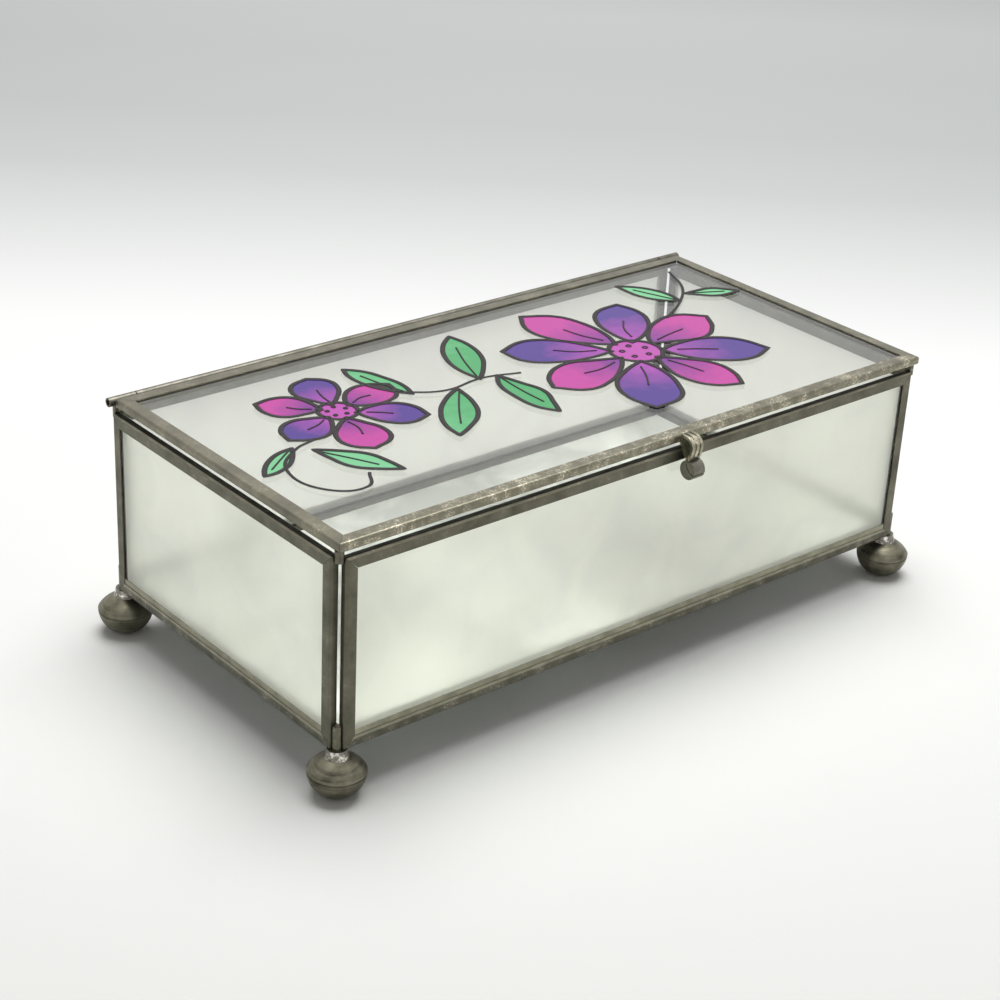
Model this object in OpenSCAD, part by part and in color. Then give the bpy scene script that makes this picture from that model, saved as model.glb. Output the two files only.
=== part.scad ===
// Glass casket box: framed glass panels soldered corner to corner, a hinged
// glass lid with a folded lift tab, and four squashed ball feet.
// X runs along the length, the front faces -Y, Z is up and 0 is the floor.

/* [Box] */
// Length over the outer faces of the end walls
box_l = 202; // [150:1:300]
// Width over the outer faces of the front and back walls
box_w = 102; // [80:1:160]
// Height of the four walls
wall_h = 52; // [35:1:90]
// Height of the walls' lower edges above the floor
stand_h = 13.1; // [11.5:0.1:16]
// Slit left between the inner edges of two panels at a corner
corner_gap = 0.1; // [0.05:0.05:0.8]
// Play between the base and the walls that stand round it
base_play = 0.2; // [0.1:0.1:0.6]
// How far the base's underside lies above the walls' lower edges
base_rise = 0.4; // [0.2:0.1:2]

/* [Glass and came] */
// Thickness of every pane
glass_t = 1.8; // [1.5:0.1:3]
// Wall thickness of the U-shaped came on each side of the pane
came_wall = 0.35; // [0.3:0.05:0.6]
// Thickness of the came's closed edge
came_web = 0.6; // [0.5:0.05:1]
// Width of the came's face on the walls and the base
came_face = 3.2; // [2.6:0.1:6]
// Width of the came's face on the lid
lid_came_face = 3.6; // [2.6:0.1:6]
// Rounding of the came's two outer edges
came_round = 0.7; // [0.4:0.05:0.8]
// Play between the pane's edge and the bottom of the channel
pane_play = 0.3; // [0.1:0.05:0.6]
// Open line between two mitred came ends
mitre_gap = 0.12; // [0.05:0.01:0.3]

/* [Lid] */
// Gap between the wall tops and the closed lid
lid_gap = 1.8; // [1:0.1:3]
// How far each end of the lid stays inside the end walls
lid_inset = 0.5; // [0:0.1:2]
// Gap between the closed lid and the front solder beads it rests on
lid_rest_gap = 0.1; // [0.05:0.05:0.4]

/* [Hinge] */
// Outer diameter of the hinge tube and its knuckles
tube_d = 2.5; // [2:0.1:4]
// Diameter of the hinge pin
pin_d = 1.6; // [1:0.1:1.8]
// Running clearance around the pin, on the radius
pin_play = 0.05; // [0.02:0.01:0.1]
// Distance from the back wall's outer face to the hinge axis
hinge_back = 1.95; // [1.9:0.05:3]
// Length of each short knuckle on the box
knuckle_l = 8; // [5:0.5:15]
// Gap between a knuckle and the long tube
knuckle_gap = 0.3; // [0.2:0.05:0.6]
// How far the knuckles stand out past the end walls
knuckle_out = 0.8; // [0:0.1:2]
// How far the pin's ends lie inside the knuckles
pin_sink = 0.7; // [0.2:0.1:2]
// Gap between the tube and the lid's back edge, filled by the solder seam
tube_seam = 0.3; // [0.2:0.05:0.6]
// Height of the solder seam
seam_h = 1; // [0.6:0.1:1.1]

/* [Feet] */
// Diameter of a foot, whose lower half is half a ball
foot_d = 14.9; // [12:0.1:18]
// Height of the flattened upper half
foot_cap_h = 3.6; // [2.5:0.1:4.5]
// Radius of the flat top under the solder
foot_top_r = 3; // [2.5:0.1:3.5]
// Radius of the flat that stands on the floor
foot_base_r = 2.1; // [1.5:0.1:3]
// Distance from the box's outer faces to a foot's axis
foot_inset = 2.2; // [2:0.1:3.4]
// Depth of the groove where a foot's two pressed halves meet
foot_seam = 0.15; // [0.1:0.05:0.4]
// Width of that groove
foot_seam_w = 0.35; // [0.2:0.05:0.6]
// How far the groove lies below the widest ring
foot_seam_drop = 0.2; // [0.1:0.1:1.5]

/* [Solder] */
// Radius of the solder collar on top of a foot
collar_r = 3.1; // [2.6:0.1:3.6]
// Radius of the collar where it meets the walls
collar_top_r = 2.5; // [2:0.1:3]
// Radius of the beads that join the upright corners
bead_r = 1.2; // [0.9:0.05:1.4]
// Distance from the outer faces to a bead's axis
bead_inset = 1.9; // [1.8:0.05:2.2]
// Height of the bead at the foot of a corner
low_bead_h = 6.5; // [3:0.5:12]
// Depth of the bead at the top of a corner
top_bead_h = 1.4; // [0.8:0.1:3]

/* [Lift tab] */
// Distance from the middle of the lid to the tab, towards the right
tab_x = 9.7; // [-30:0.1:30]
// Width of the folded strip
tab_w = 3.9; // [3:0.1:8]
// Thickness of the strip's metal
tab_t = 0.5; // [0.4:0.05:0.8]
// Depth of the strip's upper face below the top of the lid
tab_sink = 0.6; // [0.4:0.1:1]
// Radius of the strip's bend in front of the lid
tab_bend_r = 2.6; // [2.2:0.1:3.2]
// How far the bend stands out in front of the lid
tab_reach = 3.8; // [3.4:0.1:5]
// Height of the pinched neck below the top of the lid
tab_neck_drop = 7; // [6.5:0.1:9]
// Distance from the lid's front edge to the neck
tab_neck_out = 2.5; // [1.8:0.1:3]
// Clearance between the strip and the front wall's top edge
tab_clear = 0.3; // [0.2:0.05:0.6]
// Height of the ribs on the strip
rib_h = 0.25; // [0.15:0.05:0.4]
// Width of each rib
rib_w = 0.8; // [0.5:0.1:1]
// Height above the neck at which the ribs stop
rib_stop = 1.2; // [0.8:0.1:2]
// Radius of the strip's rolled end
roll_r = 2.6; // [2:0.1:2.6]
// Height by which the rolled end runs up past the neck
roll_lap = 0.2; // [0.1:0.1:0.6]
// Distance from the lid's front edge to the middle of the rolled end
roll_out = 2.8; // [2.8:0.1:3.2]
// Width of the slit between the roll's two leaves
slit_w = 0.25; // [0.15:0.05:0.4]

/* [Hidden] */

$fn = 64;
came_t = glass_t + 2 * came_wall;
post = came_t + corner_gap;
foot_belly = sqrt(pow(foot_d / 2, 2) - pow(foot_base_r, 2));
foot_h = foot_belly + foot_cap_h;
wall_z = stand_h;
base_z = wall_z + base_rise;
wall_top = wall_z + wall_h;
lid_z = wall_top + lid_gap;
lid_top = lid_z + came_t;
long_w = box_l - 2 * post;
short_w = box_w - 2 * post;
base_edge = came_t + base_play;
base_l = box_l - 2 * base_edge;
base_w = box_w - 2 * base_edge;
hinge_y = box_w / 2 - hinge_back;
hinge_z = lid_z + came_t / 2;
lid_l = box_l - 2 * lid_inset;
lid_w = box_w - hinge_back - tube_d / 2 - tube_seam;
hinge_l = box_l + 2 * knuckle_out;
tube_l = hinge_l - 2 * (knuckle_l + knuckle_gap);
tube_bore = pin_d / 2 + pin_play;
cut = 1;

pewter = [0.42, 0.41, 0.36];
solder = [0.72, 0.71, 0.67];
frosted = [0.86, 0.88, 0.85, 0.6];
clear = [0.9, 0.93, 0.92, 0.3];

// ---- Framed panels, drawn flat: X along, Y up, Z from the inside out ----

module came_section(face) {
    difference() {
        union() {
            translate([came_round, 0]) square([face - came_round, came_t]);
            translate([0, came_round]) square([face, came_t - 2 * came_round]);
            for (z = [came_round, came_t - came_round])
                translate([came_round, z]) circle(came_round);
        }
        translate([came_web, came_wall]) square([face, glass_t]);
    }
}

module came_length(len, face) {
    tip = face + mitre_gap / 2;
    color(pewter) intersection() {
        rotate([90, 0, 90]) linear_extrude(len) came_section(face);
        linear_extrude(came_t)
            polygon([[mitre_gap / 2, 0], [len - mitre_gap / 2, 0], [len - tip, face], [tip, face]]);
    }
}

// side: 0 bottom, 1 right, 2 top, 3 left
module panel_came(side, w, h, face) {
    corner = [[0, 0, 0], [w, 0, 0], [w, h, 0], [0, h, 0]];
    translate(corner[side]) rotate([0, 0, 90 * side]) came_length(side % 2 == 0 ? w : h, face);
}

module pane(w, h) {
    edge = came_web + pane_play;
    translate([edge, edge, came_wall]) cube([w - 2 * edge, h - 2 * edge, glass_t]);
}

// ---- Where each panel stands ----

module at_front() {
    translate([-long_w / 2, came_t - box_w / 2, wall_z]) rotate([90, 0, 0]) children();
}

module at_back() {
    translate([long_w / 2, box_w / 2 - came_t, wall_z]) rotate([90, 0, 180]) children();
}

module at_left() {
    translate([came_t - box_l / 2, short_w / 2, wall_z]) rotate([90, 0, -90]) children();
}

module at_right() {
    translate([box_l / 2 - came_t, -short_w / 2, wall_z]) rotate([90, 0, 90]) children();
}

module at_base() {
    translate([-base_l / 2, -base_w / 2, base_z]) children();
}

module at_lid() {
    translate([-lid_l / 2, -box_w / 2, lid_z]) children();
}

module front_glass() { color(frosted) at_front() pane(long_w, wall_h); }
module front_came(side) { at_front() panel_came(side, long_w, wall_h, came_face); }
module back_glass() { color(frosted) at_back() pane(long_w, wall_h); }
module back_came(side) { at_back() panel_came(side, long_w, wall_h, came_face); }
module left_glass() { color(frosted) at_left() pane(short_w, wall_h); }
module left_came(side) { at_left() panel_came(side, short_w, wall_h, came_face); }
module right_glass() { color(frosted) at_right() pane(short_w, wall_h); }
module right_came(side) { at_right() panel_came(side, short_w, wall_h, came_face); }
module base_glass() { color(frosted) at_base() pane(base_l, base_w); }
module base_came(side) { at_base() panel_came(side, base_l, base_w, came_face); }
module lid_glass() { color(clear) at_lid() pane(lid_l, lid_w); }
module lid_came(side) { at_lid() panel_came(side, lid_l, lid_w, lid_came_face); }

// ---- Hinge: a long tube on the lid between two knuckles on the box ----

module along_hinge(x, len, d) {
    translate([x, hinge_y, hinge_z]) rotate([0, 90, 0]) cylinder(d = d, h = len);
}

module hinge_sleeve(x, len) {
    color(pewter) difference() {
        along_hinge(x, len, tube_d);
        along_hinge(x - cut, len + 2 * cut, 2 * tube_bore);
    }
}

module hinge_tube() { hinge_sleeve(-tube_l / 2, tube_l); }
module hinge_knuckle_left() { hinge_sleeve(-hinge_l / 2, knuckle_l); }
module hinge_knuckle_right() { hinge_sleeve(hinge_l / 2 - knuckle_l, knuckle_l); }

module hinge_pin() {
    color(solder) along_hinge(pin_sink - hinge_l / 2, hinge_l - 2 * pin_sink, pin_d);
}

module hinge_seam() {
    color(solder) difference() {
        translate([-tube_l / 2, lid_w - box_w / 2, hinge_z - seam_h / 2])
            cube([tube_l, tube_d / 2 + tube_seam, seam_h]);
        along_hinge(-tube_l / 2 - cut, tube_l + 2 * cut, tube_d);
    }
}

// ---- Corners: everything here is drawn at the front left and mirrored ----

module at_corner(right, back) {
    mirror([right, 0, 0]) mirror([0, back, 0])
        translate([-box_l / 2, -box_w / 2, 0]) children();
}

module bead(z, h) {
    intersection() {
        translate([bead_inset, bead_inset, z]) cylinder(r = bead_r, h = h);
        translate([0, 0, z]) cube([post, post, h]);
    }
}

// The front beads stop just under the lid; the back ones carry the knuckles.
module corner_solder(right, back) {
    low = wall_top - top_bead_h;
    high = back == 1 ? hinge_z : lid_z - lid_rest_gap;
    color(solder) difference() {
        at_corner(right, back) bead(low, high - low);
        along_hinge(-hinge_l / 2, hinge_l, tube_d);
    }
}

// Depth of the upper cap's centre below the widest ring
foot_cap_c = (pow(foot_d / 2, 2) - pow(foot_top_r, 2) - pow(foot_cap_h, 2)) / (2 * foot_cap_h);

module foot_half(centre, r, low, high) {
    intersection() {
        translate([0, centre]) circle(r);
        translate([0, low]) square([foot_d / 2, high - low]);
    }
}

module foot(right, back) {
    color(pewter) at_corner(right, back) translate([foot_inset, foot_inset, 0])
        rotate_extrude() difference() {
            union() {
                foot_half(foot_belly, foot_d / 2, 0, foot_belly);
                foot_half(foot_belly - foot_cap_c, norm([foot_d / 2, foot_cap_c]), foot_belly, foot_h);
            }
            translate([foot_d / 2 - foot_seam, foot_belly - foot_seam_drop - foot_seam_w])
                square([foot_d, foot_seam_w]);
        }
}

// A collar on the foot, a pad under the base's corner and a bead up the corner
module foot_solder(right, back) {
    color(solder) at_corner(right, back) {
        translate([foot_inset, foot_inset, foot_h])
            cylinder(r1 = collar_r, r2 = collar_top_r, h = wall_z - foot_h);
        intersection() {
            translate([foot_inset, foot_inset, wall_z]) cylinder(r = collar_top_r, h = base_rise);
            translate([base_edge, base_edge, wall_z]) cube([foot_d, foot_d, base_rise]);
        }
        bead(wall_z, low_bead_h);
    }
}

// ---- Lift tab: a ribbed strip looped round the lid's front edge, its end rolled ----
// Its side view is drawn with X into the box and Y up, 0 at the lid's top front edge.

tab_c = [tab_bend_r - tab_reach, -tab_sink - tab_bend_r];
neck = [-tab_neck_out, -tab_neck_drop];
neck_back = neck + [tab_t, 0];
// The back leaf passes this point, just clear of the wall, on its way up to the lid
past_wall = [0, tab_clear - came_t - lid_gap];
leaf_slope = (neck_back - past_wall) / (tab_neck_drop + past_wall[1]);
leaf_top = past_wall - leaf_slope * (lid_gap - tab_clear);
leaf_w = 1.25 * tab_t;
roll_c = [-roll_out, neck[1] + roll_lap - roll_r];
// The slit is an arc round a point up in front of the roll and stops inside, near the neck
slit_c = roll_c + roll_r * [-0.85, 0.75];
slit_r = 1.03 * roll_r;
slit_top = roll_c[1] + 0.6 * roll_r;
far = 4 * tab_bend_r;

// Point where a line from p touches the circle of radius r round c, on the front
function touch(c, r, p) =
    let (d = p - c, turn = atan2(d[1], d[0]) - acos(r / norm(d)))
    c + r * [cos(turn), sin(turn)];

// Loop from the lid's front edge to the neck, filled; tip and back are its lower corners
module loop_side(r, tip, back, top) {
    intersection() {
        union() {
            translate(tab_c) circle(r);
            polygon([
                [0, tab_c[1] + r], [tab_c[0], tab_c[1] + r], touch(tab_c, r, tip),
                tip, back, top, [0, -came_t]
            ]);
        }
        polygon([[-far, 0], [0, 0], [0, -came_t], top, back, [-far, tip[1]]]);
    }
}

// The space inside the loop
module loop_hollow() {
    tip = neck + [0, 2 * tab_t];
    loop_side(tab_bend_r - tab_t, tip, tip + [tab_t, 0], leaf_top - [leaf_w, 0]);
}

module strip_side(grow) {
    difference() {
        loop_side(tab_bend_r + grow, neck - [tab_t + grow, 0], neck_back, leaf_top);
        loop_hollow();
    }
}

module rib_side() {
    intersection() {
        strip_side(rib_h);
        translate([-far, neck[1] + rib_stop]) square([far, tab_neck_drop]);
    }
}

// The rolled end, with the slit that runs in between its two leaves
module roll_side() {
    difference() {
        translate(roll_c) circle(roll_r);
        intersection() {
            translate(slit_c) difference() {
                circle(slit_r + slit_w / 2);
                circle(slit_r - slit_w / 2);
            }
            translate([-far, slit_top - far]) square(far);
        }
    }
}

module at_tab() {
    translate([tab_x, -box_w / 2, lid_top]) children();
}

module across(w) {
    translate([-w / 2, 0, 0]) rotate([90, 0, 90]) linear_extrude(w) children();
}

module lift_tab() {
    color(pewter) at_tab() {
        across(tab_w) {
            strip_side(0);
            roll_side();
        }
        for (x = [rib_w - tab_w, 0, tab_w - rib_w])
            translate([x / 2, 0, 0]) across(rib_w) rib_side();
    }
}

module lift_tab_solder() {
    color(solder) at_tab() across(tab_w - 2 * tab_t) loop_hollow();
}

front_glass();
front_came(0);  // front_bottom_came
front_came(1);  // front_right_came
front_came(2);  // front_top_came
front_came(3);  // front_left_came
back_glass();
back_came(0);  // back_bottom_came
back_came(1);  // back_left_came
back_came(2);  // back_top_came
back_came(3);  // back_right_came
left_glass();
left_came(0);  // left_bottom_came
left_came(1);  // left_front_came
left_came(2);  // left_top_came
left_came(3);  // left_back_came
right_glass();
right_came(0);  // right_bottom_came
right_came(1);  // right_back_came
right_came(2);  // right_top_came
right_came(3);  // right_front_came
base_glass();
base_came(0);  // base_front_came
base_came(1);  // base_right_came
base_came(2);  // base_back_came
base_came(3);  // base_left_came
lid_glass();
lid_came(0);  // lid_front_came
lid_came(1);  // lid_right_came
lid_came(2);  // lid_back_came
lid_came(3);  // lid_left_came
hinge_tube();
hinge_seam();
hinge_pin();
hinge_knuckle_left();
hinge_knuckle_right();
corner_solder(0, 0);  // corner_solder_front_left
corner_solder(1, 0);  // corner_solder_front_right
corner_solder(0, 1);  // corner_solder_back_left
corner_solder(1, 1);  // corner_solder_back_right
foot(0, 0);  // foot_front_left
foot(1, 0);  // foot_front_right
foot(0, 1);  // foot_back_left
foot(1, 1);  // foot_back_right
foot_solder(0, 0);  // foot_solder_front_left
foot_solder(1, 0);  // foot_solder_front_right
foot_solder(0, 1);  // foot_solder_back_left
foot_solder(1, 1);  // foot_solder_back_right
lift_tab();
lift_tab_solder();
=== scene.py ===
import bpy
import math
import random
from mathutils import Matrix, Vector


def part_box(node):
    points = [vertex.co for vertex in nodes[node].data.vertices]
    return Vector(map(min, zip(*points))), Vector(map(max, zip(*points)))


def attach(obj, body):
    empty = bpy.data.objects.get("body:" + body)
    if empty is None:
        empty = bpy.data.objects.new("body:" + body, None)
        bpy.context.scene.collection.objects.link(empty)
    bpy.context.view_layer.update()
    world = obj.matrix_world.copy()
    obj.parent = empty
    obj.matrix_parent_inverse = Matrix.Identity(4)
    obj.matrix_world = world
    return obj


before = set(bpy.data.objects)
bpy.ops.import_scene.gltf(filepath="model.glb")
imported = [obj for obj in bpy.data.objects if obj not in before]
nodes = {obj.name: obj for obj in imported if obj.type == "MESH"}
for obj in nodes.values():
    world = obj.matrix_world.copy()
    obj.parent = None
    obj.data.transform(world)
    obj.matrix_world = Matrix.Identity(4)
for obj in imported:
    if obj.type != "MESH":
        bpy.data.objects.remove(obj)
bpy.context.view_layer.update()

mm = 0.001
print("frame loaded:", len(nodes), "pieces from CAD")


def toLinear(hexText):
    parts = [int(hexText[i:i + 2], 16) / 255 for i in (1, 3, 5)]
    return tuple(c / 12.92 if c <= 0.04045 else ((c + 0.055) / 1.055) ** 2.4 for c in parts) + (1.0,)


# stops are the (place, hex colour) pairs of a colour ramp
def addNode(tree, kind, links=None, stops=(), **settings):
    node = tree.nodes.new(kind)
    for name, value in settings.items():
        setattr(node, name, value)
    for name, value in (links or {}).items():
        if isinstance(value, bpy.types.NodeSocket):
            tree.links.new(value, node.inputs[name])
        else:
            node.inputs[name].default_value = value
    if stops:
        for _ in stops[2:]:
            node.color_ramp.elements.new(0.5)
        for element, (place, tone) in zip(node.color_ramp.elements, stops):
            element.position = place
            element.color = toLinear(tone)
    return node


def newMaterial(name):
    material = bpy.data.materials.new(name)
    material.use_nodes = True
    material.node_tree.nodes.clear()
    return material, material.node_tree


# object coordinates, in mm unless another scale is given
def objectPlace(tree, scale=(1000, 1000, 1000), location=(0, 0, 0), rotation=(0, 0, 0)):
    coordinates = addNode(tree, "ShaderNodeTexCoord")
    return addNode(tree, "ShaderNodeMapping", {
        "Vector": coordinates.outputs["Object"], "Scale": scale,
        "Location": location, "Rotation": rotation}).outputs["Vector"]


# ---------- metals ----------

metalLooks = {
    # soft channel under a grey-green patina: dull, softly clouded, hardly any shine
    "patinatedCame": dict(dark="#565549", light="#6e6c5e", rub="#8c897a", rough=(0.36, 0.48),
                          mottleMm=7.0, grainMm=0.7, bump=0.07, rubShare=0.66),
    # the front channel of the lid is handled most, so the patina is thinner and bright metal shows through;
    # its cream spots are partly painted glints
    "rubbedCameWithGlints": dict(dark="#6f6c5d", light="#8e8a79", rub="#ded6be", rough=(0.28, 0.40),
                       mottleMm=4.0, grainMm=0.5, bump=0.10, rubShare=0.57),
    # the ribbed strip of the lift tab, rubbed bright by fingers and lighter still as a painted highlight on
    # the ribs
    "rubbedTabWithSheen": dict(dark="#858271", light="#aeaa97", rub="#eee8d4", rough=(0.24, 0.36),
                      mottleMm=2.5, grainMm=0.5, bump=0.10, rubShare=0.54),
    # the other sides of the lid, the same thin patina but even and satin; also the rounded tops of the walls,
    # where its lighter tone is a painted highlight
    "satinCameAndTopHighlight": dict(dark="#69675b", light="#858170", rub="#a8a492", rough=(0.30, 0.42),
                      mottleMm=8.0, grainMm=0.6, bump=0.06, rubShare=0.62),
    # the lowest channel of each wall: darker, and paler along its upper part
    "footCame": dict(dark="#4f4e43", light="#68665a", rub="#a5a293", rough=(0.34, 0.46),
                     mottleMm=4.0, grainMm=0.5, bump=0.09, rubShare=0.60,
                     paleBand=("#7b796a", "#989583"), paleBandFromMm=15.4, paleBandSoftMm=0.12),
    # the pale step above it
    "paleStepCame": dict(dark="#7b796a", light="#989583", rub="#aeab9b", rough=(0.34, 0.46),
                      mottleMm=6.0, grainMm=0.7, bump=0.07, rubShare=0.66),
    # painted shade on the flats that lie under the closed lid: nearly black and dull
    "gapShadeCame": dict(dark="#2f2e28", light="#424038", rub="#6a675a", rough=(0.5, 0.65),
                      mottleMm=5.0, grainMm=0.7, bump=0.08, rubShare=0.7),
    # drawn tube and wire, and the roll of the lift tab: smoother, with the same patina
    "patinatedTube": dict(dark="#56544a", light="#77746a", rub="#99958a", rough=(0.32, 0.45),
                          mottleMm=6.0, grainMm=0.5, bump=0.05, rubShare=0.66),
    # solder that took the patina with the channel: slightly lumpy, a shade lighter
    "patinatedSolder": dict(dark="#57554a", light="#716f61", rub="#9c988a", rough=(0.26, 0.42),
                            mottleMm=2.0, grainMm=0.9, bump=0.22, rubShare=0.60),
    # tin solder that stayed bright where it flowed last, with pale spots that are partly painted glints
    "brightSolderWithGlints": dict(dark="#5c5a51", light="#96938a", rub="#eae7de", rough=(0.16, 0.34),
                         mottleMm=1.6, grainMm=0.8, bump=0.30, rubShare=0.54),
}
# the stretch of cloud noise over which a metal goes from dark to light, and the soft edge of a rub mark
cloudSpan = (0.30, 0.62)
rubEdge = 0.14


def makeMetal(name, look):
    material, tree = newMaterial(name)
    place = objectPlace(tree)
    mottle = addNode(tree, "ShaderNodeTexNoise", {
        "Vector": place, "Scale": 1 / look["mottleMm"], "Detail": 5.0, "Roughness": 0.62}).outputs["Fac"]
    grain = addNode(tree, "ShaderNodeTexNoise", {
        "Vector": place, "Scale": 1 / look["grainMm"], "Detail": 3.0, "Roughness": 0.6}).outputs["Fac"]
    body = addNode(tree, "ShaderNodeValToRGB", {"Fac": mottle},
                   stops=list(zip(cloudSpan, (look["dark"], look["light"]))))
    rubbed = addNode(tree, "ShaderNodeMath", {0: mottle, 1: grain}, operation="MULTIPLY")
    rubStart = look["rubShare"] * 0.5
    rubMask = addNode(tree, "ShaderNodeValToRGB", {"Fac": rubbed.outputs["Value"]},
                      stops=[(rubStart, "#000000"), (rubStart + rubEdge, "#ffffff")])
    colour = addNode(tree, "ShaderNodeMix", {
        "Factor": rubMask.outputs["Color"], 6: body.outputs["Color"], 7: toLinear(look["rub"])},
        data_type="RGBA")
    if "paleBand" in look:
        height = addNode(tree, "ShaderNodeSeparateXYZ", {"Vector": place}).outputs["Z"]
        above = addNode(tree, "ShaderNodeMapRange", {
            "Value": height, "From Min": look["paleBandFromMm"] - look["paleBandSoftMm"],
            "From Max": look["paleBandFromMm"] + look["paleBandSoftMm"]})
        pale = addNode(tree, "ShaderNodeValToRGB", {"Fac": mottle}, stops=list(zip(cloudSpan, look["paleBand"])))
        colour = addNode(tree, "ShaderNodeMix", {
            "Factor": above.outputs["Result"], 6: colour.outputs[2], 7: pale.outputs["Color"]},
            data_type="RGBA")
    roughness = addNode(tree, "ShaderNodeMapRange", {
        "Value": mottle, "From Min": 0.3, "From Max": 0.7,
        "To Min": look["rough"][1], "To Max": look["rough"][0]})
    height = addNode(tree, "ShaderNodeMath", {0: grain, 1: mottle}, operation="ADD")
    bump = addNode(tree, "ShaderNodeBump", {
        "Height": height.outputs["Value"], "Strength": look["bump"], "Distance": 0.3 * mm})
    shader = addNode(tree, "ShaderNodeBsdfPrincipled", {
        "Base Color": colour.outputs[2], "Metallic": 1.0,
        "Roughness": roughness.outputs["Result"], "Normal": bump.outputs["Normal"]})
    addNode(tree, "ShaderNodeOutputMaterial", {"Surface": shader.outputs["BSDF"]})
    return material


metals = {name: makeMetal(name, look) for name, look in metalLooks.items()}

# pressed and tarnished foot metal: dull grey-green, with wavy dark streaks that follow the turning
footLook = dict(tones=[(0.36, "#403e35"), (0.43, "#5a584b"), (0.54, "#757262"), (0.70, "#949080")],
                ringMm=1.7, ringsAcross=60, cloudMm=5.0, rough=(0.42, 0.56), bump=0.12)


def makeFootMetal(look):
    material, tree = newMaterial("tarnishedPressedMetal")
    place = objectPlace(tree)
    bands = objectPlace(tree, scale=(look["ringsAcross"], look["ringsAcross"], 1000 / look["ringMm"]))
    ring = addNode(tree, "ShaderNodeTexNoise", {
        "Vector": bands, "Scale": 1.0, "Detail": 4.0, "Roughness": 0.6, "Distortion": 0.8})
    cloud = addNode(tree, "ShaderNodeTexNoise", {
        "Vector": place, "Scale": 1 / look["cloudMm"], "Detail": 4.0})
    both = addNode(tree, "ShaderNodeMath", {
        0: ring.outputs["Fac"], 1: cloud.outputs["Fac"]}, operation="ADD").outputs["Value"]
    mean = addNode(tree, "ShaderNodeMath", {0: both, 1: 0.5}, operation="MULTIPLY").outputs["Value"]
    body = addNode(tree, "ShaderNodeValToRGB", {"Fac": mean}, stops=look["tones"])
    roughness = addNode(tree, "ShaderNodeMapRange", {
        "Value": mean, "From Min": 0.35, "From Max": 0.65,
        "To Min": look["rough"][1], "To Max": look["rough"][0]})
    bump = addNode(tree, "ShaderNodeBump", {"Height": mean, "Strength": look["bump"], "Distance": 0.4 * mm})
    shader = addNode(tree, "ShaderNodeBsdfPrincipled", {
        "Base Color": body.outputs["Color"], "Metallic": 1.0,
        "Roughness": roughness.outputs["Result"], "Normal": bump.outputs["Normal"]})
    addNode(tree, "ShaderNodeOutputMaterial", {"Surface": shader.outputs["BSDF"]})
    return material


footMetal = makeFootMetal(footLook)
print("metals made")


# ---------- glass ----------

floatGlassIor = 1.52
glassLooks = {
    # clear float glass, the smooth side of every pane: sharp reflections, hardly any tint
    "clearFloatGlass": dict(tint="#fafbf9", rough=0.015, shade="#f2f6f4", clear=1.0),
    # the etched side: a fine white tooth that scatters what lies behind it and glows with the light inside
    "etchedGlass": dict(tint="#f6f7ec", smearTint="#edede6", rough=0.30, shade="#7c7e7b",
                        clear=0.85, glow=0.48, toothMm=0.35, smearMm=18.0),
    # the base is etched much deeper: nearly opaque from above, and greyed as painted shade of the dark floor
    # under the box
    "deepEtchedShadedGlass": dict(tint="#b4b5ae", smearTint="#edede6", rough=0.6, shade="#20211f",
                            clear=0.06, glow=0.01, toothMm=0.5, smearMm=24.0),
}


def makeGlass(name, look):
    material, tree = newMaterial(name)
    links = {"Base Color": toLinear(look["tint"]), "Roughness": look["rough"], "IOR": floatGlassIor,
             "Transmission Weight": look["clear"]}
    etched = "glow" in look
    if etched:
        # finger smears change the tint of the tooth here and there
        place = objectPlace(tree)
        tooth = addNode(tree, "ShaderNodeTexNoise", {
            "Vector": place, "Scale": 1 / look["toothMm"], "Detail": 2.0})
        smear = addNode(tree, "ShaderNodeTexNoise", {
            "Vector": place, "Scale": 1 / look["smearMm"], "Detail": 4.0, "Distortion": 0.6})
        colour = addNode(tree, "ShaderNodeValToRGB", {"Fac": smear.outputs["Fac"]},
                         stops=[(0.3, look["smearTint"]), (0.6, look["tint"])])
        bump = addNode(tree, "ShaderNodeBump", {
            "Height": tooth.outputs["Fac"], "Strength": 0.12, "Distance": 0.05 * mm})
        links["Base Color"] = colour.outputs["Color"]
        links["Normal"] = bump.outputs["Normal"]
    surface = addNode(tree, "ShaderNodeBsdfPrincipled", links).outputs["BSDF"]
    if etched:
        scatter = addNode(tree, "ShaderNodeBsdfTranslucent", {"Color": colour.outputs["Color"]})
        surface = addNode(tree, "ShaderNodeMixShader", {
            0: look["glow"], 1: surface, 2: scatter.outputs["BSDF"]}).outputs["Shader"]
    # lamps shine through the pane
    rays = addNode(tree, "ShaderNodeLightPath")
    through = addNode(tree, "ShaderNodeBsdfTransparent", {"Color": toLinear(look["shade"])})
    mixed = addNode(tree, "ShaderNodeMixShader", {
        0: rays.outputs["Is Shadow Ray"], 1: surface, 2: through.outputs["BSDF"]})
    addNode(tree, "ShaderNodeOutputMaterial", {"Surface": mixed.outputs["Shader"]})
    return material


glasses = {name: makeGlass(name, look) for name, look in glassLooks.items()}


# ---------- materials of the CAD pieces ----------

# a pane is etched on the face that looks into the box; the number is the axis, the sign the way it faces
etchedSide = {"front_glass": (1, 1), "back_glass": (1, -1), "left_glass": (0, 1), "right_glass": (0, -1),
              "base_glass": (2, 1), "lid_glass": None}
# how far a face has to look up (1 is level) to count as the flat top of a wall, or as its rounded edge
flatTop = 0.95
roundedTop = 0.2
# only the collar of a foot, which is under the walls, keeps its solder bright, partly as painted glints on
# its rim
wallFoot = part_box("front_bottom_came")[0].z
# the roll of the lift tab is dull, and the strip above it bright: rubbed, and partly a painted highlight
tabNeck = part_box("lift_tab")[0].z + 5.6 * mm


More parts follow.
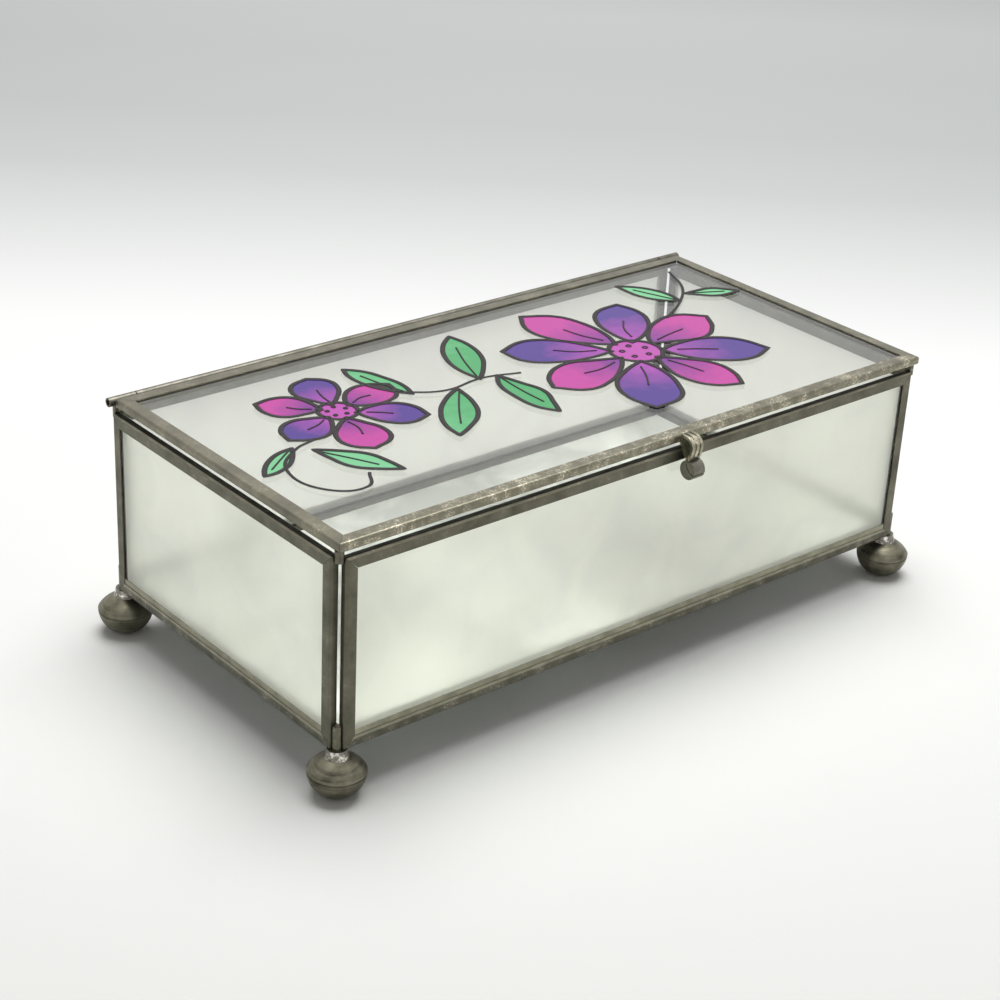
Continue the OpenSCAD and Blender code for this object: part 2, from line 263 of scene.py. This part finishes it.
def dress(node, *materials):
    slots = nodes[node].data.materials
    slots.clear()
    for material in materials:
        slots.append(material)


def cameLook(name):
    if name.startswith("lid_"):
        return "rubbedCameWithGlints" if name == "lid_front_came" else "satinCameAndTopHighlight"
    return "footCame" if name.endswith("_bottom_came") else "patinatedCame"


for pane, side in etchedSide.items():
    etching = "deepEtchedShadedGlass" if pane == "base_glass" else "etchedGlass"
    dress(pane, glasses["clearFloatGlass"], glasses[etching])
    for face in nodes[pane].data.polygons:
        face.material_index = 1 if side and face.normal[side[0]] * side[1] > 0.9 else 0

for name in nodes:
    if name.endswith("_came"):
        dress(name, metals[cameLook(name)], metals["gapShadeCame"], metals["satinCameAndTopHighlight"])
        # the flat top of a top channel gets painted shade, dark as the gap under the lid
        for face in nodes[name].data.polygons:
            upward = face.normal.z if name.endswith("_top_came") else 0
            # the rounded edge of a top channel that looks up gets the lighter satin metal as a painted
            # highlight
            face.material_index = 1 if upward > flatTop else 2 if upward > roundedTop else 0
    elif name.startswith("hinge_") and name != "hinge_seam":
        dress(name, metals["patinatedTube"])
    elif "solder" in name or name == "hinge_seam":
        dress(name, metals["patinatedSolder"], metals["brightSolderWithGlints"])
        for face in nodes[name].data.polygons:
            face.material_index = int(name.startswith("foot_") and face.center.z < wallFoot)
    elif name.startswith("foot_"):
        dress(name, footMetal)

dress("lift_tab", metals["patinatedTube"], metals["rubbedTabWithSheen"])
for face in nodes["lift_tab"].data.polygons:
    face.material_index = int(face.center.z > tabNeck)
print("CAD pieces dressed")


# ---------- pale step along the foot of each wall ----------

# a second lip of the channel that lies on the pane, just above the lowest channel
step = dict(high=1.6 * mm, thick=0.2 * mm, gap=0.02 * mm, edge=0.06 * mm)
# the uprights on both sides of each wall, the axis that the wall faces, and the way it faces
wallSides = {"front": ("left", "right", 1, -1), "back": ("right", "left", 1, 1),
             "left": ("front", "back", 0, -1), "right": ("front", "back", 0, 1)}


def wallStep(wall, first, second, axis, facing):
    along = 1 - axis
    uprights = [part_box(f"{wall}_{side}_came") for side in (first, second)]
    start, end = sorted(corner[along] for upright in uprights for corner in upright)[1:3]
    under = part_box(wall + "_glass")[1 if facing > 0 else 0][axis] + facing * step["gap"]
    low = [0, 0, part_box(wall + "_bottom_came")[1].z + step["gap"]]
    high = [0, 0, low[2] + step["high"]]
    low[along], high[along] = start + step["gap"], end - step["gap"]
    low[axis], high[axis] = sorted((under, under + facing * step["thick"]))
    bpy.ops.object.select_all(action="DESELECT")
    bpy.ops.mesh.primitive_cube_add(size=1, location=[(a + b) / 2 for a, b in zip(low, high)])
    piece = bpy.context.object
    piece.name = wall + "_step"
    piece.scale = [b - a for a, b in zip(low, high)]
    bpy.ops.object.transform_apply(location=True, rotation=True, scale=True)
    rounding = piece.modifiers.new("rounding", "BEVEL")
    rounding.width = step["edge"]
    rounding.segments = 2
    bpy.ops.object.modifier_apply(modifier=rounding.name)
    piece.data.materials.append(metals["paleStepCame"])
    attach(piece, "box")


for wall, (first, second, axis, facing) in wallSides.items():
    wallStep(wall, first, second, axis, facing)
print("wall steps laid")


# ---------- painted design on the lid ----------

# two open flowers on a stem with leaves, from the length of a petal down to the width of a line
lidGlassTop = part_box("lid_glass")[1].z
design = dict(
    lineWidth=1.45 * mm, lineHeight=0.3 * mm, stemWidth=0.95 * mm, veinWidth=0.55 * mm,
    fillHeight=0.09 * mm, gap=0.01 * mm, wobble=0.018,
    flowers=dict(
        blossom=dict(centre=(36 * mm, -3 * mm), petals=8, length=38 * mm, heart=0.2, broad=0.95),
        small_blossom=dict(centre=(-57 * mm, 10 * mm), petals=6, length=24 * mm, heart=0.22, broad=1.2)),
)
# outlines of a petal and a leaf, with the foot at or near zero and the tip at one, on the X axis
petalOutline = [(0.19, 0.0), (0.34, 0.12), (0.60, 0.225), (0.83, 0.185), (1.0, 0.0),
                (0.83, -0.185), (0.60, -0.225), (0.34, -0.12)]
leafOutline = [(0.0, 0.0), (0.25, 0.12), (0.55, 0.17), (0.82, 0.10), (1.0, 0.0),
               (0.8, -0.11), (0.5, -0.16), (0.22, -0.10)]
# the knots at the foot and the tip are sharp
sharpKnots = (0, 4)
petalVein = [(0.3, 0.0), (0.45, 0.02), (0.62, 0.0)]
leafRib = [(0.0, 0.0), (0.4, 0.01), (0.75, 0.0)]
seedRing = [(0.45, 0.0), (0.45, 0.12), (0.58, 0.12), (0.58, 0.0)]
# where each leaf starts on the stem in mm, the way it points in degrees, and its length in mm
leaves = [((-13, 6), 68, 30), ((-22, 4), 232, 30), ((-8, 5), 268, 27), ((-34, 8), 105, 24),
          ((79, 22), -24, 17), ((74, 18), 112, 21), ((-76, -6), 300, 24), ((-80, -2), 215, 17)]
stems = {
    "main_stem": [(-37, 11), (-26, 5), (-12, 6), (-1, 3)],
    "tip_stem": [(61, 10.5), (72, 17), (82, 26), (88, 38)],
    "curl_stem": [(-72, -1), (-79, -3), (-88, -12), (-86, -26), (-77, -30), (-72, -24)],
}
hand = random.Random(11)
finished = []


def drawSpline(name, points, closed, corners):
    bpy.ops.object.select_all(action="DESELECT")
    bpy.ops.curve.primitive_bezier_curve_add(location=(0, 0, 0))
    drawn = bpy.context.object
    drawn.name = name
    spline = drawn.data.splines[0]
    spline.bezier_points.add(len(points) - 2)
    spline.use_cyclic_u = closed
    for i, (knot, (x, y)) in enumerate(zip(spline.bezier_points, points)):
        knot.co = (x, y, 0)
        knot.handle_left_type = knot.handle_right_type = "VECTOR" if i in corners else "AUTO"
    drawn.data.resolution_u = 10
    return drawn


def asMesh(drawn):
    bpy.ops.object.select_all(action="DESELECT")
    drawn.select_set(True)
    bpy.context.view_layer.objects.active = drawn
    bpy.ops.object.convert(target="MESH")
    return bpy.context.object


# the piece is as high as given and lies just above the pane
def settle(piece, height):
    piece.location.z = lidGlassTop + design["gap"] + height / 2
    bpy.ops.object.transform_apply(location=True, rotation=True, scale=True)


def drawFill(name, points, corners=()):
    drawn = drawSpline(name, points, True, corners)
    drawn.data.dimensions = "2D"
    drawn.data.fill_mode = "BOTH"
    drawn.data.extrude = design["fillHeight"] / 2
    piece = asMesh(drawn)
    settle(piece, design["fillHeight"])
    return piece


def drawLine(name, points, closed=True, corners=(), width=design["lineWidth"]):
    drawn = drawSpline(name, points, closed, corners)
    drawn.data.dimensions = "3D"
    drawn.data.bevel_depth = width / 2
    drawn.data.bevel_resolution = 3
    drawn.data.use_fill_caps = True
    piece = asMesh(drawn)
    piece.scale.z = design["lineHeight"] / width
    settle(piece, design["lineHeight"])
    bpy.ops.object.shade_smooth()
    return piece


def turned(points, angle, centre, scale):
    c, s = math.cos(angle), math.sin(angle)
    return [(centre[0] + scale * (x * c - y * s), centre[1] + scale * (x * s + y * c)) for x, y in points]


def strayed(value):
    return value + hand.uniform(-1, 1) * design["wobble"]


def wobbled(points):
    # no two petals are drawn quite alike
    return [(strayed(x), strayed(y)) for x, y in points]


def finish(piece, material):
    piece.data.materials.clear()
    piece.data.materials.append(material)
    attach(piece, "lid")
    finished.append(piece)


# glass stain: a thin glossy see-through film, deeper towards the heart of the flower
lacquerLooks = {
    "pinkLacquer": dict(inner="#7a2a92", outer="#c83ea3"),
    "purpleLacquer": dict(inner="#b04ab4", outer="#4f2f92"),
    "greenLacquer": dict(inner="#4fae6d", outer="#7fcf98"),
    "violetLacquer": dict(inner="#c04fb4", outer="#8a55b8"),
}
lacquerFilm = dict(rough=0.22, ior=1.5, specular=0.3, clear=0.15, shade="#a49da2",
                   cloudsPerMm=0.22, drift=0.35, innerAt=0.42, outerAt=0.90)


def makeLacquer(name, look, centre, reach):
    material, tree = newMaterial(name)
    place = objectPlace(tree, scale=(1, 1, 1), location=(-centre[0], -centre[1], -lidGlassTop))
    far = addNode(tree, "ShaderNodeVectorMath", {0: place}, operation="LENGTH")
    share = addNode(tree, "ShaderNodeMath", {0: far.outputs["Value"], 1: 1 / reach}, operation="MULTIPLY")
    cloud = addNode(tree, "ShaderNodeTexNoise", {
        "Vector": objectPlace(tree), "Scale": lacquerFilm["cloudsPerMm"], "Detail": 3.0})
    drift = addNode(tree, "ShaderNodeMath", {
        0: cloud.outputs["Fac"], 1: lacquerFilm["drift"], 2: share.outputs["Value"]},
        operation="MULTIPLY_ADD")
    colour = addNode(tree, "ShaderNodeValToRGB", {"Fac": drift.outputs["Value"]}, stops=[
        (lacquerFilm["innerAt"], look["inner"]), (lacquerFilm["outerAt"], look["outer"])])
    film = addNode(tree, "ShaderNodeBsdfPrincipled", {
        "Base Color": colour.outputs["Color"], "Roughness": lacquerFilm["rough"], "IOR": lacquerFilm["ior"],
        "Specular IOR Level": lacquerFilm["specular"], "Transmission Weight": lacquerFilm["clear"]})
    rays = addNode(tree, "ShaderNodeLightPath")
    through = addNode(tree, "ShaderNodeBsdfTransparent", {"Color": toLinear(lacquerFilm["shade"])})
    mixed = addNode(tree, "ShaderNodeMixShader", {
        0: rays.outputs["Is Shadow Ray"], 1: film.outputs["BSDF"], 2: through.outputs["BSDF"]})
    addNode(tree, "ShaderNodeOutputMaterial", {"Surface": mixed.outputs["Shader"]})
    return material


# relief paste squeezed from a tube: near black, faintly glossy, uneven
pasteLook = dict(dark="#211d1e", light="#352f31", lumpsPerMm=1.2, rough=0.55, specular=0.25, bump=0.3)


def makePaste(look):
    material, tree = newMaterial("blackReliefPaste")
    lump = addNode(tree, "ShaderNodeTexNoise", {
        "Vector": objectPlace(tree), "Scale": look["lumpsPerMm"], "Detail": 2.0}).outputs["Fac"]
    colour = addNode(tree, "ShaderNodeValToRGB", {"Fac": lump},
                     stops=[(0.3, look["dark"]), (0.75, look["light"])])
    bump = addNode(tree, "ShaderNodeBump", {"Height": lump, "Strength": look["bump"], "Distance": 0.1 * mm})
    shader = addNode(tree, "ShaderNodeBsdfPrincipled", {
        "Base Color": colour.outputs["Color"], "Roughness": look["rough"],
        "Specular IOR Level": look["specular"], "Normal": bump.outputs["Normal"]})
    addNode(tree, "ShaderNodeOutputMaterial", {"Surface": shader.outputs["BSDF"]})
    return material


outlinePaste = makePaste(pasteLook)

for name, flower in design["flowers"].items():
    centre, reach = flower["centre"], flower["length"]
    pink, purple, violet = [makeLacquer(f"{name}_{stain}", lacquerLooks[stain], centre, reach)
                            for stain in ("pinkLacquer", "purpleLacquer", "violetLacquer")]
    for i in range(flower["petals"]):
        angle = math.tau * (i + 0.3) / flower["petals"] + hand.uniform(-0.05, 0.05)
        length = reach * hand.uniform(0.9, 1.04)
        outline = turned([(x, y * flower["broad"]) for x, y in wobbled(petalOutline)], angle, centre, length)
        finish(drawFill(f"{name}_petal_{i + 1}", outline, sharpKnots), purple if i % 2 else pink)
        finish(drawLine(f"{name}_petal_outline_{i + 1}", outline, corners=sharpKnots), outlinePaste)
        vein = turned(wobbled(petalVein), angle, centre, length)
        finish(drawLine(f"{name}_vein_{i + 1}", vein, closed=False, width=design["veinWidth"]), outlinePaste)
    ring = wobbled([(math.cos(math.tau * k / 8), math.sin(math.tau * k / 8)) for k in range(8)])
    heart = turned(ring, 0, centre, flower["heart"] * reach)
    finish(drawFill(f"{name}_heart", heart), violet)
    finish(drawLine(f"{name}_heart_outline", heart), outlinePaste)
    for k in range(5):
        seed = turned(seedRing, math.tau * k / 5, centre, flower["heart"] * reach)
        finish(drawLine(f"{name}_seed_{k + 1}", seed, width=design["veinWidth"]), outlinePaste)

leafGreen = makeLacquer("leaf_greenLacquer", lacquerLooks["greenLacquer"], (0, 0), 90 * mm)
for i, ((x, y), heading, length) in enumerate(leaves):
    place = (math.radians(heading), (x * mm, y * mm), length * mm)
    outline = turned(wobbled(leafOutline), *place)
    finish(drawFill(f"leaf_{i + 1}", outline, sharpKnots), leafGreen)
    finish(drawLine(f"leaf_outline_{i + 1}", outline, corners=sharpKnots), outlinePaste)
    rib = turned(wobbled(leafRib), *place)
    finish(drawLine(f"leaf_rib_{i + 1}", rib, closed=False, width=design["veinWidth"]), outlinePaste)
for name, points in stems.items():
    line = [(x * mm, y * mm) for x, y in points]
    finish(drawLine(name, line, closed=False, width=design["stemWidth"]), outlinePaste)
print("design painted:", len(finished), "pieces")


# ---------- floor, light and camera ----------

# where the photo was taken from: azimuth, elevation and roll in degrees, place in mm, lens on a 36 mm sensor
viewpoint = dict(azimuth=-40.97, elevation=26.33, roll=2.92, place=(-358.96, -403.29, 298.36),
                 lens=77.96, sensor=36)

studio = dict(
    floorSize=12.0,
    # painted light and shade: the paper's tone against the distance in mm beyond the middle of the box, away
    # from the camera, lightest just behind the box
    floorToneAndShade=[(-200, "#ecece9"), (-141, "#eeeeec"), (-60, "#f1f1ef"), (60, "#f6f6f4"), (130, "#f8f8f6"),
                (195, "#f5f5f4"), (235, "#ecedec"), (270, "#e4e5e4"), (316, "#dadcdb"), (382, "#cccfce"),
                (470, "#c7cac9"), (586, "#cbcecd"), (695, "#d4d7d6")],
    overhead=dict(place=(0.17, 0.15, 1.15), size=0.9, watts=14.2),
    side=dict(place=(-0.9, -0.6, 0.7), size=0.8, watts=0.6),
    aim=(0, 0, 0.03),
    # strength of the white air: as light, and as seen by the camera, in reflections and through glass
    ambient=0.22, backdrop=0.9,
)


def layFloor():
    bpy.ops.object.select_all(action="DESELECT")
    bpy.ops.mesh.primitive_plane_add(size=studio["floorSize"], location=(0, 0, 0))
    floor = bpy.context.object
    floor.name = "studio_floor"
    # matte paper without shine; its greying far behind the box and towards the camera is painted shade
    floorPaper, tree = newMaterial("matteWhitePaper")
    away = objectPlace(tree, scale=(1, 1, 1), rotation=(0, 0, -math.radians(viewpoint["azimuth"])))
    depth = addNode(tree, "ShaderNodeSeparateXYZ", {"Vector": away}).outputs["Y"]
    near, far = [studio["floorToneAndShade"][end][0] * mm for end in (0, -1)]
    tones = [((place * mm - near) / (far - near), tone) for place, tone in studio["floorToneAndShade"]]
    share = addNode(tree, "ShaderNodeMapRange", {"Value": depth, "From Min": near, "From Max": far})
    paperShadeColour = addNode(tree, "ShaderNodeValToRGB", {"Fac": share.outputs["Result"]}, stops=tones)
    paper = addNode(tree, "ShaderNodeBsdfDiffuse", {"Color": paperShadeColour.outputs["Color"]})
    addNode(tree, "ShaderNodeOutputMaterial", {"Surface": paper.outputs["BSDF"]})
    floor.data.materials.append(floorPaper)


def addSoftbox(name, place, size, watts):
    bpy.ops.object.light_add(type="AREA", location=place)
    lamp = bpy.context.object
    lamp.name = name
    lamp.rotation_euler = (Vector(studio["aim"]) - Vector(place)).to_track_quat("-Z", "Y").to_euler()
    lamp.data.size = size
    lamp.data.energy = watts


def fillAir():
    world = bpy.data.worlds.new("paleStudio")
    bpy.context.scene.world = world
    world.use_nodes = True
    tree = world.node_tree
    tree.nodes.clear()
    rays = addNode(tree, "ShaderNodeLightPath").outputs
    seen = rays["Is Camera Ray"]
    for ray in ("Is Glossy Ray", "Is Transmission Ray"):
        seen = addNode(tree, "ShaderNodeMath", {0: seen, 1: rays[ray]}, operation="MAXIMUM").outputs["Value"]
    strength = addNode(tree, "ShaderNodeMix", {
        "Factor": seen, 2: studio["ambient"], 3: studio["backdrop"]}, data_type="FLOAT")
    air = addNode(tree, "ShaderNodeBackground", {
        "Color": toLinear("#ffffff"), "Strength": strength.outputs[0]})
    addNode(tree, "ShaderNodeOutputWorld", {"Surface": air.outputs["Background"]})


def setCamera():
    bpy.ops.object.camera_add()
    camera = bpy.context.object
    camera.matrix_world = (
        Matrix.Translation(Vector(viewpoint["place"]) * mm)
        @ Matrix.Rotation(math.radians(viewpoint["azimuth"]), 4, "Z")
        @ Matrix.Rotation(math.radians(90 - viewpoint["elevation"]), 4, "X")
        @ Matrix.Rotation(math.radians(viewpoint["roll"]), 4, "Z"))
    camera.data.lens = viewpoint["lens"]
    camera.data.sensor_width = viewpoint["sensor"]
    camera.data.clip_start = 10 * mm
    bpy.context.scene.camera = camera
    bpy.context.scene.view_settings.view_transform = "Standard"


layFloor()
addSoftbox("overhead_softbox", **studio["overhead"])
addSoftbox("side_softbox", **studio["side"])
fillAir()
setCamera()
print("studio ready")
